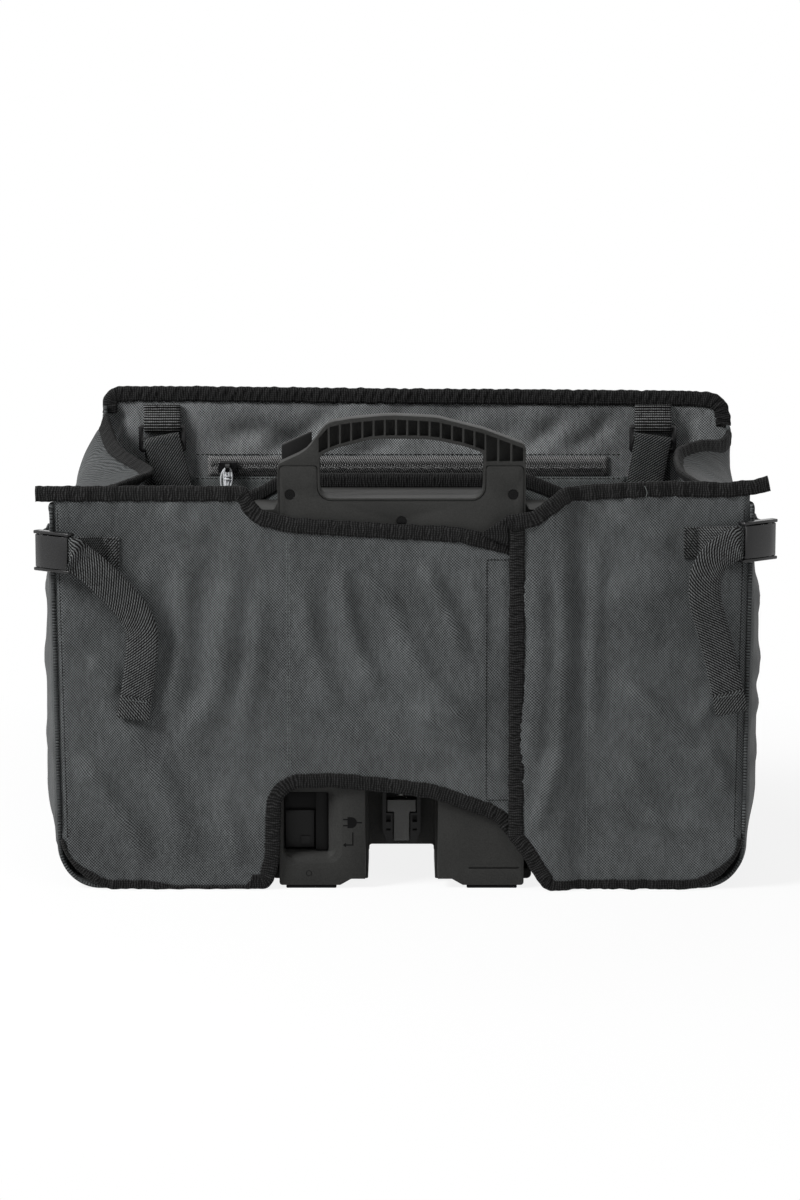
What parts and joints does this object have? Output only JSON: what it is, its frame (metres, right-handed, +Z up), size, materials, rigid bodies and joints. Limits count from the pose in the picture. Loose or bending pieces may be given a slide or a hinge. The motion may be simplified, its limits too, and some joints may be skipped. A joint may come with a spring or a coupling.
{
  "type": "bike basket bag",
  "caption": "Open fabric basket bag with a rear sleeve that holds a handled battery, an access flap, an inner zip pocket and lever-buckle side straps.",
  "frame": {"origin": "centre of the box round the whole bag, at floor height", "axes": "+X across the bag, +Y from the bicycle side to the front wall, +Z up"},
  "size_m": [0.4723, 0.2338, 0.3056],
  "materials": {
    "fabric": "woven, matt",
    "lining": "woven, matt",
    "tape": "ribbed tape, matt",
    "webbing": "woven webbing, matt",
    "buckle_plastic": "moulded, glossy",
    "housing_plastic": "moulded, fine grain",
    "dark_plastic": "moulded, matt",
    "shutter_plastic": "moulded, matt",
    "pull_cord": "braided cord",
    "foot_rubber": "moulded, matt",
    "spring_steel": "drawn wire",
    "cell_wrap": "shrink wrap",
    "board_green": "coated board"
  },
  "bodies": {
    "bag": {"rear_panel": "fabric", "rear_panel_right": "fabric", "side_gusset_left": "fabric", "side_gusset_right": "fabric", "front_wall": "fabric", "base_panel": "fabric", "divider_wall": "lining", "pocket_panel": "lining", "rear_top_binding_left": "tape", "rear_top_binding_right": "tape", "arch_binding": "tape", "bottom_binding_right": "tape", "front_top_binding": "tape", "divider_binding": "tape", "gusset_binding_left": "tape", "gusset_binding_right": "tape", "rear_seam_left": "tape", "rear_seam_right": "tape", "front_seam": "tape", "zip_tapes": "tape", "zip_coil": "tape", "top_anchor_left": "webbing", "top_anchor_right": "webbing", "inner_strap_left": "webbing", "inner_strap_right": "webbing", "side_strap_left": "webbing", "side_strap_right": "webbing", "side_strap_front_left": "webbing", "side_strap_front_right": "webbing", "side_buckle_left": "buckle_plastic", "side_buckle_right": "buckle_plastic", "base_board": "dark_plastic"},
    "battery": {"battery_rear_housing": "housing_plastic", "battery_front_housing": "housing_plastic", "battery_rear_cover": "housing_plastic", "cover_screw_left": "dark_plastic", "cover_screw_right": "dark_plastic", "cover_screw_middle": "dark_plastic", "display_cover": "dark_plastic", "carrier_latch": "dark_plastic", "shutter_spring": "spring_steel", "charging_well": "dark_plastic", "port_socket": "dark_plastic", "foot_pad_left": "foot_rubber", "foot_pad_right": "foot_rubber", "power_cells": "cell_wrap", "cell_frame_rear": "dark_plastic", "cell_frame_front": "dark_plastic", "control_board": "board_green"},
    "flap": {"battery_access_flap": "fabric", "flap_binding": "tape"},
    "lever_left": {"buckle_lever_left": "buckle_plastic"},
    "lever_right": {"buckle_lever_right": "buckle_plastic"},
    "slider": {"zip_slider": "buckle_plastic"},
    "pull": {"zip_pull_cord": "pull_cord"},
    "lock_left": {"ladder_lock_left": "buckle_plastic"},
    "lock_right": {"ladder_lock_right": "buckle_plastic"},
    "shutter": {"contact_shutter": "shutter_plastic"},
    "port_lid": {"port_cover": "dark_plastic"}
  },
  "joints": [
    {"name": "battery_lift", "type": "slide", "parent": "bag", "child": "battery", "axis": [0, 0, 1], "range_m": [0, 0.3]},
    {"name": "flap_hinge", "type": "hinge", "parent": "bag", "child": "flap", "pos_m": [0.115, -0.0949, 0.13], "axis": [0, 0, 1], "range_deg": [0, 120]},
    {"name": "lever_left_hinge", "type": "hinge", "parent": "bag", "child": "lever_left", "pos_m": [-0.22921, -0.09646, 0.2195], "axis": [0, 0, -1], "range_deg": [0, 80]},
    {"name": "lever_right_hinge", "type": "hinge", "parent": "bag", "child": "lever_right", "pos_m": [0.23468, -0.09135, 0.226], "axis": [0, 0, 1], "range_deg": [0, 80]},
    {"name": "zip_run", "type": "slide", "parent": "bag", "child": "slider", "axis": [1, 0, 0], "range_m": [0, 0.25]},
    {"name": "pull_swing", "type": "hinge", "parent": "slider", "child": "pull", "pos_m": [-0.12, 0.10024, 0.2518], "axis": [-1, 0, 0], "range_deg": [0, 80]},
    {"name": "lock_left_tilt", "type": "hinge", "parent": "bag", "child": "lock_left", "pos_m": [-0.165, 0.10523, 0.2797], "axis": [-1, 0, 0], "range_deg": [0, 30], "deforming": ["inner_strap_left"]},
    {"name": "lock_right_tilt", "type": "hinge", "parent": "bag", "child": "lock_right", "pos_m": [0.1735, 0.10514, 0.2797], "axis": [-1, 0, 0], "range_deg": [0, 30], "deforming": ["inner_strap_right"]},
    {"name": "shutter_slide", "type": "slide", "parent": "battery", "child": "shutter", "axis": [0, 0, 1], "range_m": [0, 0.008], "stiffness_N_per_m": 150, "springref_m": -0.004, "deforming": ["shutter_spring"]},
    {"name": "port_lid_hinge", "type": "hinge", "parent": "battery", "child": "port_lid", "pos_m": [-0.0654, -0.0766, 0.0477], "axis": [-1, 0, 0], "range_deg": [0, 80]}
  ]
}
